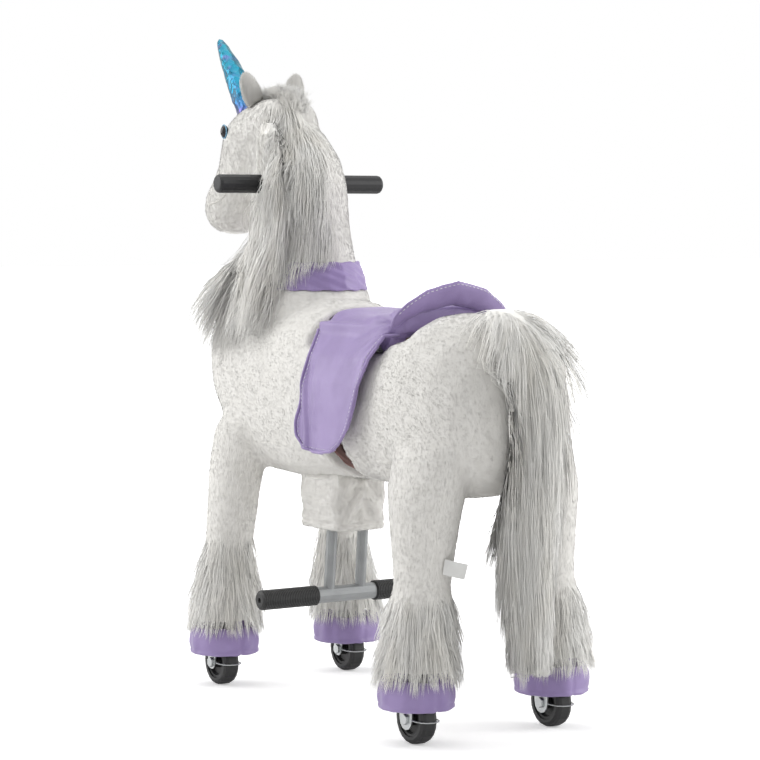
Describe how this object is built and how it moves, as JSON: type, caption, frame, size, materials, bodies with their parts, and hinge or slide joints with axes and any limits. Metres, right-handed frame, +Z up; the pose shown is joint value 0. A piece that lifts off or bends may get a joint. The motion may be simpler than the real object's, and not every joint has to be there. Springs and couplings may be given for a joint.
{
  "type": "plush ride-on animal",
  "caption": "Plush ride-on unicorn on castors: a saddle over two hinged halves that spread and close as the rider bounces on the pedals, steered by handles through the neck.",
  "frame": {"origin": "on the floor under the middle of the part's bounding box", "axes": "+Z up, -Y the way the animal faces, +X to the animal's left"},
  "size_m": [0.3396, 0.8869, 0.9952],
  "materials": {
    "white_plush": "long soft pile, warm white, longest on the mane, tail and lower legs",
    "lilac_cloth": "short smooth pile, lilac, with stitched edges",
    "brown_cloth": "short pile, very dark brown",
    "label_cloth": "bare white woven tape, satin",
    "foil_cloth": "metallic foil cloth, teal to violet, spirally seamed",
    "grey_paint": "silver-grey powder coat, satin",
    "zinc_plate": "bright zinc plating, slightly dull",
    "zinc_bolt": "zinc plating",
    "spring_steel": "oiled spring wire",
    "board": "plain plywood",
    "black_rubber": "matt black, finely ribbed",
    "tyre": "matt black, plain tread",
    "hub_plastic": "black moulded plastic",
    "eye_plastic": "glossy black dome with a blue rim"
  },
  "bodies": {
    "saddle": {"saddle_frame": "grey_paint", "front_pivot_pin": "zinc_bolt", "rear_pivot_pin": "zinc_bolt", "return_spring": "spring_steel", "seat_board": "board", "saddle_seat": "lilac_cloth", "saddle_cantle": "lilac_cloth", "saddle_flap_left": "lilac_cloth", "saddle_flap_right": "lilac_cloth", "split_liner": "brown_cloth"},
    "front_half": {"front_leg_frame": "grey_paint", "chest_body": "white_plush", "belly_skirt": "white_plush", "front_leg_left": "white_plush", "front_leg_right": "white_plush", "front_hoof_left": "lilac_cloth", "front_hoof_right": "lilac_cloth"},
    "rear_half": {"rear_leg_frame": "grey_paint", "rump_body": "white_plush", "rear_leg_left": "white_plush", "rear_leg_right": "white_plush", "rear_hoof_left": "lilac_cloth", "rear_hoof_right": "lilac_cloth", "rear_fork_left": "zinc_plate", "rear_fork_right": "zinc_plate", "axle_rear_left": "zinc_bolt", "axle_rear_right": "zinc_bolt", "tail": "white_plush", "care_label": "label_cloth"},
    "pedals": {"pedal_frame": "grey_paint", "pedal_grip_left": "black_rubber", "pedal_grip_right": "black_rubber"},
    "neck": {"steering_stem": "grey_paint", "handlebar": "grey_paint", "handle_grip_left": "black_rubber", "handle_grip_right": "black_rubber", "neck_body": "white_plush", "neck_collar": "lilac_cloth", "head": "white_plush", "horn": "foil_cloth", "mane": "white_plush", "ear_left": "white_plush", "ear_right": "white_plush", "eye_left": "eye_plastic", "eye_right": "eye_plastic"},
    "fork_front_left": {"front_fork_left": "zinc_plate", "axle_front_left": "zinc_bolt"},
    "fork_front_right": {"front_fork_right": "zinc_plate", "axle_front_right": "zinc_bolt"},
    "wheel_front_left": {"tyre_front_left": "tyre", "hub_front_left": "hub_plastic"},
    "wheel_front_right": {"tyre_front_right": "tyre", "hub_front_right": "hub_plastic"},
    "wheel_rear_left": {"tyre_rear_left": "tyre", "hub_rear_left": "hub_plastic"},
    "wheel_rear_right": {"tyre_rear_right": "tyre", "hub_rear_right": "hub_plastic"}
  },
  "joints": [
    {"name": "front_half_hinge", "type": "hinge", "parent": "saddle", "child": "front_half", "pos_m": [0, 0.02, 0.5], "axis": [-1, 0, 0], "range_deg": [0, 6], "stiffness_Nm_per_rad": 150, "springref_deg": -8.59, "deforming": ["return_spring"]},
    {"name": "rear_half_hinge", "type": "hinge", "parent": "saddle", "child": "rear_half", "pos_m": [0, 0.16, 0.5], "axis": [1, 0, 0], "range_deg": [0, 6]},
    {"name": "pedal_slide", "type": "slide", "parent": "front_half", "child": "pedals", "axis": [0, 0.0924, 0.9957], "range_m": [0, 0.021]},
    {"name": "neck_steer", "type": "hinge", "parent": "front_half", "child": "neck", "pos_m": [0, -0.1935, 0.598], "axis": [0, 0, 1], "range_deg": [-15, 15]},
    {"name": "fork_steer_left", "type": "hinge", "parent": "front_half", "child": "fork_front_left", "pos_m": [0.113, -0.239, 0.0812], "axis": [0, 0, 1], "range_deg": [-15, 15]},
    {"name": "fork_steer_right", "type": "hinge", "parent": "front_half", "child": "fork_front_right", "pos_m": [-0.113, -0.239, 0.0812], "axis": [0, 0, 1], "range_deg": [-15, 15]},
    {"name": "wheel_spin_front_left", "type": "hinge", "parent": "fork_front_left", "child": "wheel_front_left", "pos_m": [0.113, -0.239, 0.035], "axis": [1, 0, 0], "continuous": true},
    {"name": "wheel_spin_front_right", "type": "hinge", "parent": "fork_front_right", "child": "wheel_front_right", "pos_m": [-0.113, -0.239, 0.035], "axis": [1, 0, 0], "continuous": true},
    {"name": "wheel_spin_rear_left", "type": "hinge", "parent": "rear_half", "child": "wheel_rear_left", "pos_m": [0.113, 0.299, 0.035], "axis": [1, 0, 0], "continuous": true},
    {"name": "wheel_spin_rear_right", "type": "hinge", "parent": "rear_half", "child": "wheel_rear_right", "pos_m": [-0.113, 0.299, 0.035], "axis": [1, 0, 0], "continuous": true}
  ],
  "couplings": [
    {"joint": "rear_half_hinge", "follows": "front_half_hinge", "ratio": 1},
    {"joint": "pedal_slide", "follows": "front_half_hinge", "m_per_rad": 0.2},
    {"joint": "fork_steer_left", "follows": "neck_steer", "ratio": 1},
    {"joint": "fork_steer_right", "follows": "neck_steer", "ratio": 1}
  ]
}
